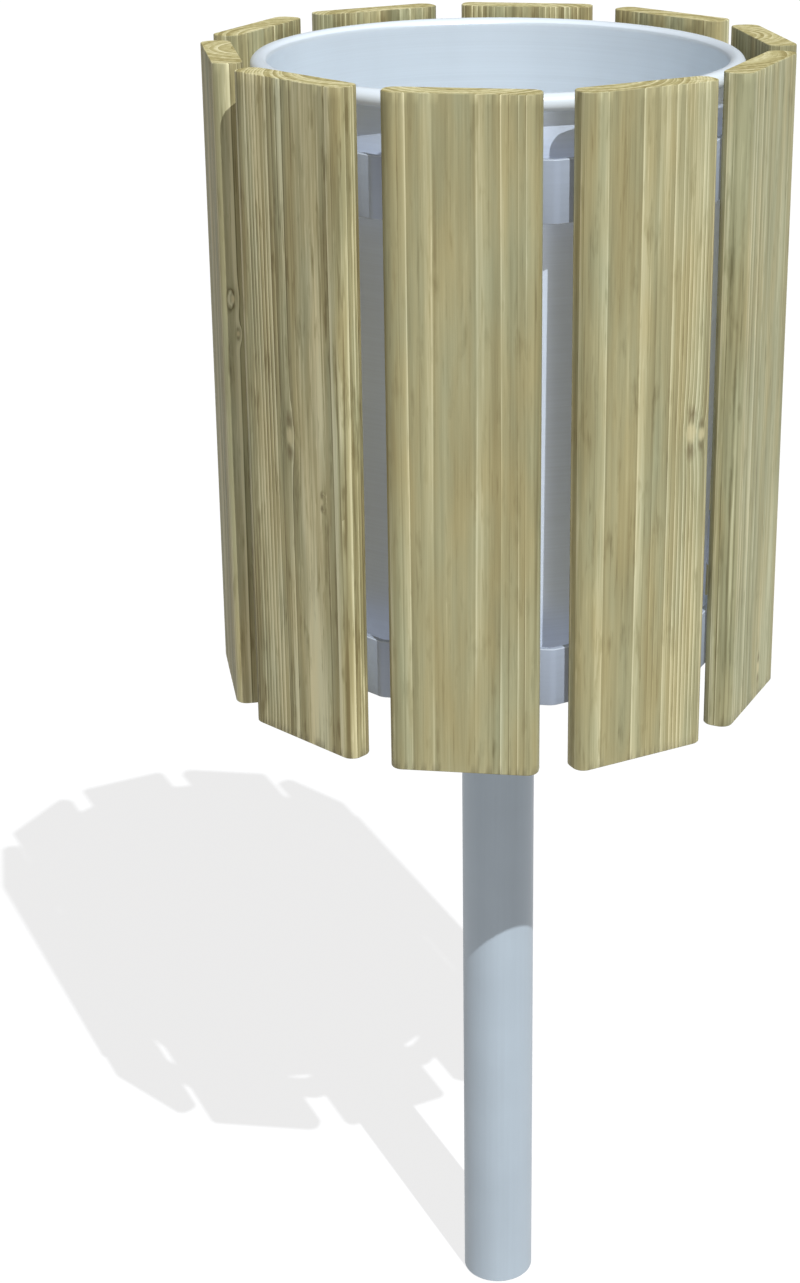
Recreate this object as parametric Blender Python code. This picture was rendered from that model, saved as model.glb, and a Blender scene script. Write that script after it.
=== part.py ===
"""Timber-slatted litter bin on a single steel post.

Ten pine slats stand around two hoops of flat bar, bent to ten flats.  A cross of flat bar in the
lower hoop is bolted to a plate on top of the post, and a loose sheet-steel liner stands on the
cross.  Lengths are metres, +Z is up, and the origin is the centre of the post's foot at ground
level.  The middle of one slat faces -Y.
"""
from math import acos, atan2, cos, pi, radians, sin, tan, tau

import bmesh
import bpy
from mathutils import Euler, Matrix, Vector

# ---- Driving dimensions -----------------------------------------------------------------------

GAP = 0.0003                    # air between two pieces that touch
HOLE_PLAY = 0.0005              # radial play of a screw or bolt in drilled steel
DRILL_OVERRUN = 0.002           # how far a drill passes the face that it leaves by
SIDES = 10                      # slats around the bin, and flats on each hoop
PITCH = tau / SIDES

BIN_HEIGHT = 1.100              # ground to the slats' top ends

SLAT_WIDTH = 0.110
SLAT_THICKNESS = 0.023
SLAT_LENGTH = 0.502
SLAT_EDGE_RADIUS = 0.009        # rounding of the four long edges
SLAT_APOTHEM = 0.220            # bin's axis to a slat's outer face

HOOP_THICKNESS = 0.005
HOOP_HEIGHT = 0.045
HOOP_BEND_RADIUS = 0.006        # inside radius of each bend
UPPER_HOOP_DROP = 0.048         # slats' top ends down to the upper hoop's top edge
LOWER_HOOP_DROP = 0.410

SCREW_LENGTH = 0.020            # countersunk wood screw, 5 x 20 mm
SCREW_RADIUS = 0.0022           # core of the thread
SCREW_HEAD_RADIUS = 0.0048
SCREW_SOCKET_RADIUS = 0.0018
SCREW_SOCKET_DEPTH = 0.0015

BAR_WIDTH = 0.040               # flat bar of the base cross
BAR_THICKNESS = 0.006
BAR_LIFT = 0.001                # lower hoop's bottom edge up to the cross's underside

POST_RADIUS = 0.03015           # 60.3 mm tube
POST_WALL = 0.0029

PLATE_RADIUS = 0.070
PLATE_THICKNESS = 0.008

BOLT_CIRCLE_RADIUS = 0.048      # countersunk M8 x 30 bolts
BOLT_COUNT = 4
BOLT_LENGTH = 0.030
BOLT_RADIUS = 0.004
BOLT_HEAD_RADIUS = 0.0079
BOLT_SOCKET_RADIUS = 0.0028
BOLT_SOCKET_DEPTH = 0.0025
WASHER_RADIUS = 0.008
WASHER_THICKNESS = 0.0016
NUT_ACROSS_FLATS = 0.013
NUT_HEIGHT = 0.0068
BOLT_CHAMFER = 0.0008

LINER_INNER_RADIUS = 0.1734     # just under its rim
LINER_TAPER = 0.0062            # how much smaller the wall's radius is at its foot
LINER_SHEET = 0.0012
LINER_TOP_DROP = 0.0065         # slats' top ends down to the top of the liner's rolled rim
RIM_RADIUS = 0.0067             # outside of the roll
RIM_SWEEP = radians(310)        # how far round the sheet is rolled
RIM_WIRE_RADIUS = 0.0050
FLOOR_RAISE = 0.012             # liner's foot up to its floor
FLOOR_FLANGE = 0.010
FLOOR_BEND_RADIUS = 0.003
DRAIN_COUNT = 4
DRAIN_RADIUS = 0.005
DRAIN_CIRCLE_RADIUS = 0.110

SMOOTH_ANGLE = radians(40)

# ---- Dimensions that follow from them ---------------------------------------------------------

SLAT_BOTTOM = BIN_HEIGHT - SLAT_LENGTH
SLAT_INNER_APOTHEM = SLAT_APOTHEM - SLAT_THICKNESS
HOOP_OUTER_APOTHEM = SLAT_INNER_APOTHEM - GAP
HOOP_INNER_APOTHEM = HOOP_OUTER_APOTHEM - HOOP_THICKNESS
UPPER_HOOP_TOP = BIN_HEIGHT - UPPER_HOOP_DROP
LOWER_HOOP_TOP = BIN_HEIGHT - LOWER_HOOP_DROP
LOWER_HOOP_BOTTOM = LOWER_HOOP_TOP - HOOP_HEIGHT
HOOP_SCREW_DROP = HOOP_HEIGHT / 2

BAR_BOTTOM = LOWER_HOOP_BOTTOM + BAR_LIFT
BAR_TOP = BAR_BOTTOM + BAR_THICKNESS
PLATE_TOP = BAR_BOTTOM - GAP
PLATE_BOTTOM = PLATE_TOP - PLATE_THICKNESS
POST_TOP = PLATE_BOTTOM - GAP
WASHER_TOP = PLATE_BOTTOM - GAP
NUT_TOP = WASHER_TOP - WASHER_THICKNESS - GAP
BOLT_ANGLES = [tau * index / BOLT_COUNT for index in range(BOLT_COUNT)]
BOLT_PLACES = [(BOLT_CIRCLE_RADIUS * cos(angle), BOLT_CIRCLE_RADIUS * sin(angle))
               for angle in BOLT_ANGLES]

LINER_FOOT = BAR_TOP + GAP
RIM_CENTRE_RADIUS = LINER_INNER_RADIUS + RIM_RADIUS
RIM_CENTRE_HEIGHT = BIN_HEIGHT - LINER_TOP_DROP - RIM_RADIUS
FLOOR_BOTTOM = LINER_FOOT + FLOOR_RAISE
LINER_FOOT_RADIUS = LINER_INNER_RADIUS - LINER_TAPER
FLOOR_RADIUS = LINER_FOOT_RADIUS - GAP


# ---- Materials --------------------------------------------------------------------------------

def principled(name, colour, roughness, metallic):
    """A material with one Principled shader."""
    material = bpy.data.materials.new(name)
    material.use_nodes = True
    material.diffuse_color = (*colour, 1.0)
    shader = material.node_tree.nodes["Principled BSDF"]
    shader.inputs["Base Color"].default_value = (*colour, 1.0)
    shader.inputs["Roughness"].default_value = roughness
    shader.inputs["Metallic"].default_value = metallic
    return material


def make_materials():
    """The bin's four finishes by name."""
    return {
        "wood": principled("slat_wood", (0.36, 0.32, 0.17), 0.62, 0.0),
        "steel": principled("frame_steel", (0.46, 0.54, 0.60), 0.45, 0.25),
        "liner": principled("liner_steel", (0.62, 0.72, 0.80), 0.35, 0.30),
        "fastener": principled("fastener_steel", (0.58, 0.60, 0.62), 0.30, 0.90),
    }


# ---- Outlines and solids ----------------------------------------------------------------------

def filleted(corners, radius, segments):
    """A closed outline through the corners, each rounded by an arc of the given radius."""
    outline = []
    count = len(corners)
    for index, corner in enumerate(corners):
        point = Vector(corner)
        back = (Vector(corners[index - 1]) - point).normalized()
        ahead = (Vector(corners[(index + 1) % count]) - point).normalized()
        half_angle = acos(back.dot(ahead)) / 2
        centre = point + (back + ahead).normalized() * radius / sin(half_angle)
        start = point + back * radius / tan(half_angle) - centre
        end = point + ahead * radius / tan(half_angle) - centre
        sweep = atan2(start.x * end.y - start.y * end.x, start.dot(end))
        first = atan2(start.y, start.x)
        for step in range(segments + 1):
            angle = first + sweep * step / segments
            outline.append((centre.x + radius * cos(angle), centre.y + radius * sin(angle)))
    return outline


def bent_outline(apothem, bend_radius, segments=3):
    """Outline of a hoop's face: flats square to each slat, bends at the gaps between them."""
    corner_radius = apothem / cos(PITCH / 2)
    angles = [-pi / 2 + PITCH * (side + 0.5) for side in range(SIDES)]
    corners = [(corner_radius * cos(angle), corner_radius * sin(angle)) for angle in angles]
    return filleted(corners, bend_radius, segments)


def raise_faces(bm, height):
    """Extrude all faces of a flat sheet upwards into a closed solid."""
    grown = bmesh.ops.extrude_face_region(bm, geom=bm.faces[:])
    top = [item for item in grown["geom"] if isinstance(item, bmesh.types.BMVert)]
    bmesh.ops.translate(bm, verts=top, vec=(0.0, 0.0, height))
    bmesh.ops.recalc_face_normals(bm, faces=bm.faces)
    return bm


def prism(outline, bottom, height):
    """An outline extruded upwards."""
    bm = bmesh.new()
    bm.faces.new([bm.verts.new((x, y, bottom)) for x, y in outline])
    return raise_faces(bm, height)


def ring_prism(outer, inner, bottom, height):
    """The strip between two outlines with the same number of points, extruded upwards."""
    bm = bmesh.new()
    outside = [bm.verts.new((x, y, bottom)) for x, y in outer]
    inside = [bm.verts.new((x, y, bottom)) for x, y in inner]
    for index in range(len(outer)):
        before = index - 1
        bm.faces.new((outside[before], outside[index], inside[index], inside[before]))
    return raise_faces(bm, height)


def turned(profile, segments, closed=False):
    """A solid turned about Z from (radius, height) points.

    An open profile starts and ends on the axis; a closed one stays clear of it.
    """
    bm = bmesh.new()
    verts = [bm.verts.new((radius, 0.0, height)) for radius, height in profile]
    pairs = list(zip(verts, verts[1:]))
    if closed:
        pairs.append((verts[-1], verts[0]))
    edges = [bm.edges.new(pair) for pair in pairs]
    bmesh.ops.spin(bm, geom=verts + edges, cent=(0, 0, 0), axis=(0, 0, 1), angle=tau,
                   steps=segments)
    bmesh.ops.remove_doubles(bm, verts=bm.verts, dist=1e-6)
    bmesh.ops.recalc_face_normals(bm, faces=bm.faces)
    return bm


def circle(radius, segments, phase=0.0):
    """Points of a regular polygon."""
    angles = [phase + tau * index / segments for index in range(segments)]
    return [(radius * cos(angle), radius * sin(angle)) for angle in angles]


# ---- Objects ----------------------------------------------------------------------------------

def finished_mesh(bm, name, material=None):
    """Turn a bmesh into a mesh that is smooth across its rounded faces."""
    mesh = bpy.data.meshes.new(name)
    bm.to_mesh(mesh)
    bm.free()
    mesh.shade_smooth()
    mesh.set_sharp_from_angle(angle=SMOOTH_ANGLE)
    if material:
        mesh.materials.append(material)
    return mesh


def place(name, mesh, parent=None, location=(0.0, 0.0, 0.0), rotation=(0.0, 0.0, 0.0)):
    """Put a mesh in the scene at a place measured from the ground under the post."""
    piece = bpy.data.objects.new(name, mesh)
    bpy.context.scene.collection.objects.link(piece)
    piece.location = location
    piece.rotation_euler = rotation
    if parent:
        piece.parent = parent
        piece.location = Vector(location) - parent.location
    return piece


def empty(name, height):
    """An empty on the bin's axis, which the pieces of one body hang from."""
    holder = bpy.data.objects.new(name, None)
    bpy.context.scene.collection.objects.link(holder)
    holder.location = (0.0, 0.0, height)
    return holder


def cut(piece, bm, name):
    """Take the solid in bm out of a piece, with a hidden cutter in the piece's own frame."""
    cutter = place(name, finished_mesh(bm, name))
    cutter.parent = piece
    cutter.hide_render = True
    cutter.display_type = "WIRE"
    boolean = piece.modifiers.new("drilled", "BOOLEAN")
    boolean.operation = "DIFFERENCE"
    boolean.solver = "EXACT"
    boolean.object = cutter
    return cutter


def gathered(solids):
    """Several separate bmeshes, each with its own matrix, in one bmesh."""
    bm = bmesh.new()
    for solid, matrix in solids:
        solid.transform(matrix)
        part = bpy.data.meshes.new("part")
        solid.to_mesh(part)
        solid.free()
        bm.from_mesh(part)
        bpy.data.meshes.remove(part)
    return bm


def facing_out(side):
    """Rotation that turns a piece's own +Z from the bin's axis towards the middle of a slat."""
    return (pi / 2, 0.0, PITCH * side)


def on_radius(radius, side, height):
    """A point on the radius through the middle of a slat."""
    angle = PITCH * side
    return (radius * sin(angle), -radius * cos(angle), height)


def matrix_of(location, rotation=(0.0, 0.0, 0.0)):
    """The matrix of an object with this location and rotation."""
    return Matrix.LocRotScale(Vector(location), Euler(rotation), None)


# ---- Post and base ----------------------------------------------------------------------------

def post(parent, material):
    """Tube from the ground to the underside of its top plate."""
    inner = POST_RADIUS - POST_WALL
    profile = [(POST_RADIUS, 0.0), (POST_RADIUS, POST_TOP), (inner, POST_TOP), (inner, 0.0)]
    mesh = finished_mesh(turned(profile, 64, closed=True), "post", material)
    return place("post", mesh, parent)


def countersunk_hole(shank_radius, head_radius, depth):
    """Cutter for a countersunk hole, with the head's face at zero and the hole going up +Z."""
    shank = shank_radius + HOLE_PLAY
    head = head_radius + HOLE_PLAY
    end = depth + DRILL_OVERRUN
    return turned([(0.0, -DRILL_OVERRUN), (head, -DRILL_OVERRUN), (head, 0.0),
                   (shank, head - shank), (shank, end), (0.0, end)], 16)


def plain_hole(radius, bottom, depth, segments):
    """Cutter for a plain hole up +Z, passing both faces."""
    return prism(circle(radius, segments), bottom - DRILL_OVERRUN, depth + 2 * DRILL_OVERRUN)


def post_plate(parent, material):
    """Round plate on top of the post, with a plain hole for each bolt."""
    mesh = finished_mesh(prism(circle(PLATE_RADIUS, 64), PLATE_BOTTOM, PLATE_THICKNESS),
                         "post_plate", material)
    plate = place("post_plate", mesh, parent)
    drills = []
    for x, y in BOLT_PLACES:
        solid = plain_hole(BOLT_RADIUS + HOLE_PLAY, PLATE_BOTTOM, PLATE_THICKNESS, 16)
        drills.append((solid, matrix_of((x, y, 0.0))))
    cut(plate, gathered(drills), "post_plate_drills")
    return plate


def base_bar(name, outline, bolts, parent, material):
    """One flat bar of the base cross, with a countersunk hole for each of its bolts."""
    mesh = finished_mesh(prism(outline, BAR_BOTTOM, BAR_THICKNESS), name, material)
    bar = place(name, mesh, parent)
    drills = []
    for x, y in bolts:
        solid = countersunk_hole(BOLT_RADIUS, BOLT_HEAD_RADIUS, BAR_THICKNESS)
        drills.append((solid, matrix_of((x, y, BAR_TOP), (pi, 0.0, 0.0))))
    cut(bar, gathered(drills), name + "_drills")
    return bar


def base_cross(parent, material):
    """One bar from flat to flat of the lower hoop, and two arms from it into the hoop's bends."""
    half = BAR_WIDTH / 2
    reach = HOOP_INNER_APOTHEM - GAP
    through = [(-half, -reach), (half, -reach), (half, reach), (-half, reach)]
    bolt_right, bolt_back, bolt_left, bolt_front = BOLT_PLACES
    base_bar("base_bar_through", through, (bolt_back, bolt_front), parent, material)

    bend_inset = HOOP_BEND_RADIUS * (1 / cos(PITCH / 2) - 1) + 2 * GAP
    tip = HOOP_INNER_APOTHEM / cos(PITCH / 2) - bend_inset
    shoulder = tip - half * tan(PITCH / 2)
    root = half + GAP
    arm = [(root, -half), (shoulder, -half), (tip, 0.0), (shoulder, half), (root, half)]
    for name, sense, bolt in (("base_bar_right", 1, bolt_right), ("base_bar_left", -1, bolt_left)):
        base_bar(name, [(sense * x, sense * y) for x, y in arm], (bolt,), parent, material)


def bolt_mesh(material):
    """Countersunk bolt, head face at zero and shank up +Z, with its drive socket."""
    profile = [(0.0, BOLT_SOCKET_DEPTH), (BOLT_SOCKET_RADIUS, BOLT_SOCKET_DEPTH),
               (BOLT_SOCKET_RADIUS, 0.0), (BOLT_HEAD_RADIUS, 0.0),
               (BOLT_RADIUS, BOLT_HEAD_RADIUS - BOLT_RADIUS),
               (BOLT_RADIUS, BOLT_LENGTH - BOLT_CHAMFER),
               (BOLT_RADIUS - BOLT_CHAMFER, BOLT_LENGTH), (0.0, BOLT_LENGTH)]
    return finished_mesh(turned(profile, 18), "base_bolt", material)


def washer_mesh(material):
    """Flat washer with its top face at zero."""
    hole = BOLT_RADIUS + HOLE_PLAY
    profile = [(hole, -WASHER_THICKNESS), (WASHER_RADIUS, -WASHER_THICKNESS),
               (WASHER_RADIUS, 0.0), (hole, 0.0)]
    return finished_mesh(turned(profile, 24, closed=True), "base_washer", material)


def nut_mesh(material):
    """Hexagonal nut with its top face at zero."""
    sides = 6
    outer = circle(NUT_ACROSS_FLATS / 2 / cos(pi / sides), sides)
    corner_count = 24
    bore = circle(BOLT_RADIUS + GAP, corner_count)
    hexagon = []
    for index in range(corner_count):
        share, step = divmod(index, corner_count // sides)
        start = Vector(outer[share])
        end = Vector(outer[(share + 1) % sides])
        hexagon.append(tuple(start.lerp(end, step * sides / corner_count)))
    return finished_mesh(ring_prism(hexagon, bore, -NUT_HEIGHT, NUT_HEIGHT), "base_nut", material)


def base_fasteners(parent, material):
    """Bolts from above through cross and plate, with washer and nut under the plate."""
    bolt = bolt_mesh(material)
    washer = washer_mesh(material)
    nut = nut_mesh(material)
    for number, (x, y) in enumerate(BOLT_PLACES, start=1):
        place(f"base_bolt_{number}", bolt, parent, (x, y, BAR_TOP), (pi, 0.0, 0.0))
        place(f"base_washer_{number}", washer, parent, (x, y, WASHER_TOP))
        place(f"base_nut_{number}", nut, parent, (x, y, NUT_TOP))


# ---- Hoops, slats and screws ------------------------------------------------------------------

def hoop(name, top, parent, material):
    """Flat bar bent to ten flats, with a countersunk screw hole from inside in each flat."""
    outer = bent_outline(HOOP_OUTER_APOTHEM, HOOP_BEND_RADIUS + HOOP_THICKNESS)
    inner = bent_outline(HOOP_INNER_APOTHEM, HOOP_BEND_RADIUS)
    bm = ring_prism(outer, inner, -HOOP_HEIGHT, HOOP_HEIGHT)
    ring = place(name, finished_mesh(bm, name, material), parent, (0.0, 0.0, top))
    drills = []
    for side in range(SIDES):
        solid = countersunk_hole(SCREW_RADIUS, SCREW_HEAD_RADIUS, HOOP_THICKNESS)
        spot = on_radius(HOOP_INNER_APOTHEM, side, -HOOP_SCREW_DROP)
        drills.append((solid, matrix_of(spot, facing_out(side))))
    cut(ring, gathered(drills), name + "_drills")
    return ring


def slat_mesh(material):
    """Slat standing on its own origin: outer face at zero, inner face at +Y, pilot holes inside."""
    half = SLAT_WIDTH / 2
    corners = [(-half, 0.0), (half, 0.0), (half, SLAT_THICKNESS), (-half, SLAT_THICKNESS)]
    outline = filleted(corners, SLAT_EDGE_RADIUS, 5)
    blank = place("slat_blank", finished_mesh(prism(outline, 0.0, SLAT_LENGTH), "slat", material))
    reach = SCREW_LENGTH - HOOP_THICKNESS
    drills = []
    for top in (UPPER_HOOP_TOP, LOWER_HOOP_TOP):
        height = top - HOOP_SCREW_DROP - SLAT_BOTTOM
        solid = prism(circle(SCREW_RADIUS + GAP, 8), -DRILL_OVERRUN, reach + DRILL_OVERRUN)
        drills.append((solid, matrix_of((0.0, SLAT_THICKNESS, height), (pi / 2, 0.0, 0.0))))
    drill = cut(blank, gathered(drills), "slat_drills")
    settled = blank.evaluated_get(bpy.context.evaluated_depsgraph_get())
    mesh = bpy.data.meshes.new_from_object(settled)
    for helper in (drill, blank):
        bpy.data.objects.remove(helper)
    return mesh


def slats(parent, material):
    """The ten slats, all of one shape."""
    mesh = slat_mesh(material)
    for side in range(SIDES):
        spot = on_radius(SLAT_APOTHEM, side, SLAT_BOTTOM)
        place(f"slat_{side + 1:02d}", mesh, parent, spot, (0.0, 0.0, PITCH * side))


def screw_mesh(material):
    """Countersunk wood screw, head face at zero and point up +Z."""
    point = 0.003
    profile = [(0.0, SCREW_SOCKET_DEPTH), (SCREW_SOCKET_RADIUS, SCREW_SOCKET_DEPTH),
               (SCREW_SOCKET_RADIUS, 0.0), (SCREW_HEAD_RADIUS, 0.0),
               (SCREW_RADIUS, SCREW_HEAD_RADIUS - SCREW_RADIUS),
               (SCREW_RADIUS, SCREW_LENGTH - point), (0.0, SCREW_LENGTH)]
    return finished_mesh(turned(profile, 12), "slat_screw", material)


def slat_screws(parent, material):
    """One screw from inside each hoop into each slat."""
    mesh = screw_mesh(material)
    for level, top in (("upper", UPPER_HOOP_TOP), ("lower", LOWER_HOOP_TOP)):
        for side in range(SIDES):
            spot = on_radius(HOOP_INNER_APOTHEM, side, top - HOOP_SCREW_DROP)
            name = f"{level}_screw_{side + 1:02d}"
            place(name, mesh, parent, spot, facing_out(side))


# ---- Liner ------------------------------------------------------------------------------------

def arc(centre, radius, first, sweep, segments):
    """Points along an arc in the (radius, height) plane."""
    angles = [first + sweep * step / segments for step in range(segments + 1)]
    return [(centre[0] + radius * cos(angle), centre[1] + radius * sin(angle))
            for angle in angles]


def liner_wall(parent, material):
    """Slightly tapered sheet can whose top edge is rolled outwards, almost back to the wall."""
    centre = (RIM_CENTRE_RADIUS, RIM_CENTRE_HEIGHT)
    skin = arc(centre, RIM_RADIUS, pi, -RIM_SWEEP, 14)
    core = arc(centre, RIM_RADIUS - LINER_SHEET, pi, -RIM_SWEEP, 14)
    profile = [(LINER_FOOT_RADIUS, LINER_FOOT)] + skin + core[::-1]
    profile.append((LINER_FOOT_RADIUS + LINER_SHEET, LINER_FOOT))
    bm = turned(profile, 60, closed=True)
    bmesh.ops.translate(bm, verts=bm.verts, vec=(0.0, 0.0, -LINER_FOOT))
    mesh = finished_mesh(bm, "liner_wall", material)
    return place("liner_wall", mesh, parent, (0.0, 0.0, LINER_FOOT))


def liner_rim_wire(parent, material):
    """Round wire that the rim is rolled around."""
    profile = arc((RIM_CENTRE_RADIUS, 0.0), RIM_WIRE_RADIUS, 0.0, tau * 9 / 10, 9)
    mesh = finished_mesh(turned(profile, 60, closed=True), "liner_rim_wire", material)
    return place("liner_rim_wire", mesh, parent, (0.0, 0.0, RIM_CENTRE_HEIGHT))


def liner_floor(parent, material):
    """Disc set into the wall, flange down, with drain holes between the bars of the cross."""
    centre = (FLOOR_RADIUS - FLOOR_BEND_RADIUS, LINER_SHEET - FLOOR_BEND_RADIUS)
    profile = [(0.0, 0.0)]
    profile += arc(centre, FLOOR_BEND_RADIUS - LINER_SHEET, pi / 2, -pi / 2, 3)
    profile += [(FLOOR_RADIUS - LINER_SHEET, -FLOOR_FLANGE), (FLOOR_RADIUS, -FLOOR_FLANGE)]
    profile += arc(centre, FLOOR_BEND_RADIUS, 0.0, pi / 2, 3)
    profile.append((0.0, LINER_SHEET))
    mesh = finished_mesh(turned(profile, 60), "liner_floor", material)
    floor = place("liner_floor", mesh, parent, (0.0, 0.0, FLOOR_BOTTOM))
    drills = []
    for x, y in circle(DRAIN_CIRCLE_RADIUS, DRAIN_COUNT, pi / DRAIN_COUNT):
        drills.append((plain_hole(DRAIN_RADIUS, 0.0, LINER_SHEET, 12), matrix_of((x, y, 0.0))))
    cut(floor, gathered(drills), "liner_floor_drills")
    return floor


# ---- Assembly ---------------------------------------------------------------------------------

def main():
    for leftover in list(bpy.data.objects):
        bpy.data.objects.remove(leftover)
    materials = make_materials()
    stand = empty("stand_frame", 0.0)
    post(stand, materials["steel"])
    post_plate(stand, materials["steel"])
    base_cross(stand, materials["steel"])
    base_fasteners(stand, materials["fastener"])
    hoop("upper_hoop", UPPER_HOOP_TOP, stand, materials["steel"])
    hoop("lower_hoop", LOWER_HOOP_TOP, stand, materials["steel"])
    slats(stand, materials["wood"])
    slat_screws(stand, materials["fastener"])

    lifted = empty("liner_frame", LINER_FOOT)
    liner_wall(lifted, materials["liner"])
    liner_rim_wire(lifted, materials["liner"])
    liner_floor(lifted, materials["liner"])


main()
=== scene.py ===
"""Looks of the timber-slatted litter bin: fine meshes, finishes, camera, floor and light.

Every piece is built in the row frame, in metres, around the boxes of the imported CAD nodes.
A slat's own coordinates are x across it, y inwards from its outer face, and z up from its foot.
"""
from math import cos, e, exp, hypot, pi, radians, sin, tan, tau

import bmesh
import bpy
from mathutils import Matrix, Vector, noise


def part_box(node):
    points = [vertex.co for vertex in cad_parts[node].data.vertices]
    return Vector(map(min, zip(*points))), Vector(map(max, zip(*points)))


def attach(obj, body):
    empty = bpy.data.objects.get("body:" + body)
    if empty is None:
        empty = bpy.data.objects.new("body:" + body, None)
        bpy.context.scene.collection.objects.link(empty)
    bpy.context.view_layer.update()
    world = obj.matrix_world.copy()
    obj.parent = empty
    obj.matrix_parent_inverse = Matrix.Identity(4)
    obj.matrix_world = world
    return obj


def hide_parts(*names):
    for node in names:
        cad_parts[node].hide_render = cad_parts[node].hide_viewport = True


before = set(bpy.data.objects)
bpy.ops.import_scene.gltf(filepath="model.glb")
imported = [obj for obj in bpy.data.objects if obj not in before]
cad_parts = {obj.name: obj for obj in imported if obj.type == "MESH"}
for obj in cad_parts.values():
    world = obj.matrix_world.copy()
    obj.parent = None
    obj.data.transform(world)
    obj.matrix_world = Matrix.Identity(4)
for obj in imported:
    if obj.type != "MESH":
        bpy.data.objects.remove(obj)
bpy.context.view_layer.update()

# ---- Camera, light and floor ------------------------------------------------------------------

CAMERA_TURN = radians(6.69)         # to the right of straight on to slat_01
CAMERA_PITCH = radians(19.62)       # below the horizontal
CAMERA_DISTANCE = 1.8035            # level distance from the bin's axis
CAMERA_HEIGHT = 1.377
CAMERA_LENS = 66.67
CAMERA_SHIFT = (-0.0764, -0.1103)

SUN_TURN = radians(32.6)
SUN_HEIGHT = radians(51.6)
SUN_STRENGTH = 3.25
SUN_COLOUR = (0.97, 1.0, 1.03)
SUN_SPREAD = radians(0.4)
FILL_STRENGTHS = (0.70, 0.70, 0.46)  # three fills, evenly around the bin
FILL_HEIGHT = radians(15)
FILL_COLOUR = (1.04, 0.97, 0.96)
BOUNCE_STRENGTH = 0.35              # from below, as a pale floor would give
SKY_LIGHT = 0.17
FLOOR_REACH = 30.0
FLOOR_GLOW = 0.755
FLOOR_SHADE = 0.25

# ---- Dimensions read from the frame -----------------------------------------------------------

SIDES = 10
PITCH = tau / SIDES
GAP = 0.0003

slat_low, slat_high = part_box("slat_01")
SLAT_APOTHEM = -slat_low.y
SLAT_THICKNESS = slat_high.y - slat_low.y
SLAT_HALF = slat_high.x
SLAT_FOOT = slat_low.z
SLAT_LENGTH = slat_high.z - slat_low.z
HOOP_OUTER = -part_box("upper_hoop")[0].y
HOOP_INNER = -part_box("upper_screw_01")[1].y
POST_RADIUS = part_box("post")[1].x
POST_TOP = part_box("post")[1].z
PLATE_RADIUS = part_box("post_plate")[1].x
PLATE_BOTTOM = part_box("post_plate")[0].z
PLATE_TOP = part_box("post_plate")[1].z
BAR_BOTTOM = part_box("base_bar_through")[0].z
BAR_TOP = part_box("base_bar_through")[1].z
BAR_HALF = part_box("base_bar_through")[1].x
BAR_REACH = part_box("base_bar_through")[1].y
ARM_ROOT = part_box("base_bar_right")[0].x
ARM_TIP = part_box("base_bar_right")[1].x
LINER_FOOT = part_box("liner_wall")[0].z
RIM_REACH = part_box("liner_wall")[1].x
FLOOR_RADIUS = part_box("liner_floor")[1].x
FLOOR_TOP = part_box("liner_floor")[1].z
FLOOR_FLANGE_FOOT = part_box("liner_floor")[0].z
LINER_FOOT_INNER = FLOOR_RADIUS + GAP
wire_low, wire_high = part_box("liner_rim_wire")
WIRE_RADIUS = (wire_high.z - wire_low.z) / 2
RIM_CENTRE = (wire_high.x - WIRE_RADIUS, (wire_low.z + wire_high.z) / 2)
RIM_RADIUS = RIM_REACH - RIM_CENTRE[0]
LINER_INNER = RIM_CENTRE[0] - RIM_RADIUS

# ---- Dimensions of the fine shapes ------------------------------------------------------------

SLAT_CORNER = 0.009                 # radius of a slat's long edges
SLAT_CORNER_STEPS = 8
SLAT_ARRIS = 0.0005                 # where its ends meet its sides
SLAT_COLUMN = 0.001                 # width of its mesh's columns
SLAT_ROW = 0.008                    # height of its mesh's rows
SLAT_END_LOOPS = 4
GRAIN_RELIEF = 0.00012              # depth of the soft wood between two ring lines
HOOP_BEND = 0.006                   # inside radius
HOOP_BEND_STEPS = 8
STEEL_ARRIS = 0.0008
ARRIS_STEPS = 3
POST_WALL = 0.0029
POST_ARRIS = 0.0006
POST_ROWS = 12
SHEET = 0.0012
RIM_SWEEP = radians(310)
RIM_STEPS = 44
LINER_ROWS = 24
LINER_SEGMENTS = 192
FLOOR_BEND = 0.003
SCREW_LENGTH = 0.020
SCREW_HEAD = 0.0048
SCREW_HEAD_EDGE = 0.0005            # depth of the head's upright edge
SCREW_SOCKET = 0.0016               # depth of its drive
SCREW_NECK_END = 0.005
SCREW_CORE = 0.0022
SCREW_ROOT = 0.0017                 # between two turns of its thread
SCREW_CREST = 0.0026
SCREW_PITCH = 0.0022
BOLT_LENGTH = 0.030
BOLT_HEAD = 0.0079
BOLT_HEAD_EDGE = 0.0006
BOLT_SOCKET = 0.0026
BOLT_KEY = 0.0048                   # across the flats of its socket
BOLT_NECK_END = 0.007
BOLT_RADIUS = 0.004
BOLT_ROOT = 0.0033
BOLT_PITCH = 0.00125
HEAD_ARRIS = 0.0002
NUT_FLATS = 0.013
WASHER_ARRIS = 0.0003
THREAD_ROWS_PER_TURN = 6
HOLE_PLAY = 0.0005
DRILL_PAST = 0.002                  # a drill goes this far past each face
POST_WELD_LEG = 0.004
POST_WELD_RIPPLES = 110
BEAD_RIPPLE = 0.0018                # from one ripple to the next
FLAT_BEAD = (0.005, 0.0010)         # width and height of each kind of bead
CORNER_BEAD = (0.004, 0.0015)
HOOP_BEAD = (0.005, 0.0006)
SEAM_BEAD = (0.004, 0.0005)
HOOP_WELD_SIDE = 5                  # the hoops are closed behind the slat at the back
HOOP_WELD_ACROSS = 0.030            # beside the middle of that slat
SEAM_ACROSS = 0.012                 # beside the middle of slat_01
UP = (0.0, 0.0, 1.0)
DRAIN_COUNT = 4
DRAIN_RADIUS = 0.005
DRAIN_CIRCLE = 0.110
SMOOTH_ANGLE = radians(40)

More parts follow.
